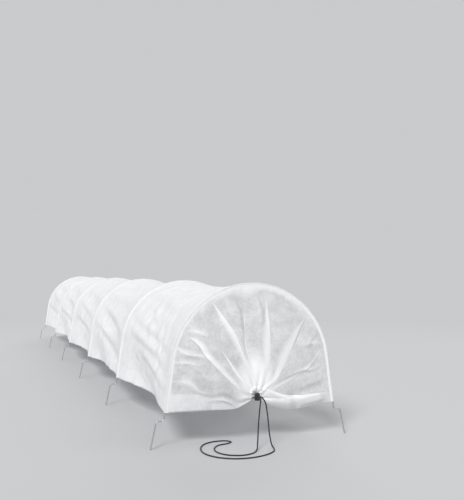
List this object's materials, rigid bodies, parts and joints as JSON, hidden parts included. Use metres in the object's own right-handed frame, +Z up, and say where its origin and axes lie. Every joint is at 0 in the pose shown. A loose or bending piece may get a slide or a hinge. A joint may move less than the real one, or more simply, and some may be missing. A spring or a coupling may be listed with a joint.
{
  "type": "row cover tunnel",
  "caption": "Low fleece tunnel on wire hoops with ground spikes, accordion bays and drawstring gathered ends for covering a garden row.",
  "frame": {"origin": "middle of the tunnel's length and width, on the plane that the spike tips stand on", "axes": "+Y along the tunnel from the drawn front end to the rear end, +X to the right seen from the front, +Z up"},
  "size_m": [0.5158, 3.1792, 0.3923],
  "materials": {
    "wire": "galvanised, satin",
    "sleeve": "matte non-woven fleece, double layer",
    "fleece": "matte, see-through non-woven fleece",
    "end_fleece": "matte, see-through non-woven fleece, gathered",
    "cord": "matte braided cord",
    "lock_plastic": "moulded, slightly glossy",
    "spring": "drawn wire"
  },
  "bodies": {
    "front_frame": {"front_hoop": "wire", "front_sleeve": "sleeve", "front_end_cover": "end_fleece", "front_collar": "end_fleece", "drawstring": "cord", "drawstring_tail": "cord", "cover_bay_1": "fleece"},
    "second_frame": {"second_hoop": "wire", "second_sleeve": "sleeve", "cover_bay_2": "fleece"},
    "third_frame": {"third_hoop": "wire", "third_sleeve": "sleeve", "cover_bay_3": "fleece"},
    "fourth_frame": {"fourth_hoop": "wire", "fourth_sleeve": "sleeve", "cover_bay_4": "fleece"},
    "fifth_frame": {"fifth_hoop": "wire", "fifth_sleeve": "sleeve", "cover_bay_5": "fleece"},
    "rear_frame": {"rear_hoop": "wire", "rear_sleeve": "sleeve", "rear_end_cover": "end_fleece", "rear_collar": "end_fleece"},
    "lock": {"cord_lock_barrel": "lock_plastic"},
    "lock_button": {"cord_lock_plunger": "lock_plastic", "cord_lock_spring": "spring"}
  },
  "joints": [
    {"name": "bay_1_close", "type": "slide", "parent": "front_frame", "child": "second_frame", "axis": [0, -1, 0], "range_m": [0, 0.57], "deforming": ["cover_bay_1"]},
    {"name": "bay_2_close", "type": "slide", "parent": "second_frame", "child": "third_frame", "axis": [0, -1, 0], "range_m": [0, 0.57], "deforming": ["cover_bay_2"]},
    {"name": "bay_3_close", "type": "slide", "parent": "third_frame", "child": "fourth_frame", "axis": [0, -1, 0], "range_m": [0, 0.57], "deforming": ["cover_bay_3"]},
    {"name": "bay_4_close", "type": "slide", "parent": "fourth_frame", "child": "fifth_frame", "axis": [0, -1, 0], "range_m": [0, 0.57], "deforming": ["cover_bay_4"]},
    {"name": "bay_5_close", "type": "slide", "parent": "fifth_frame", "child": "rear_frame", "axis": [0, -1, 0], "range_m": [0, 0.57], "deforming": ["cover_bay_5"]},
    {"name": "lock_slide", "type": "slide", "parent": "front_frame", "child": "lock", "axis": [0, -1, 0], "range_m": [0, 0.012]},
    {"name": "lock_press", "type": "slide", "parent": "lock", "child": "lock_button", "axis": [0, 0, -1], "range_m": [0, 0.002], "stiffness_N_per_m": 400, "springref_m": -0.002, "deforming": ["cord_lock_spring"]}
  ]
}
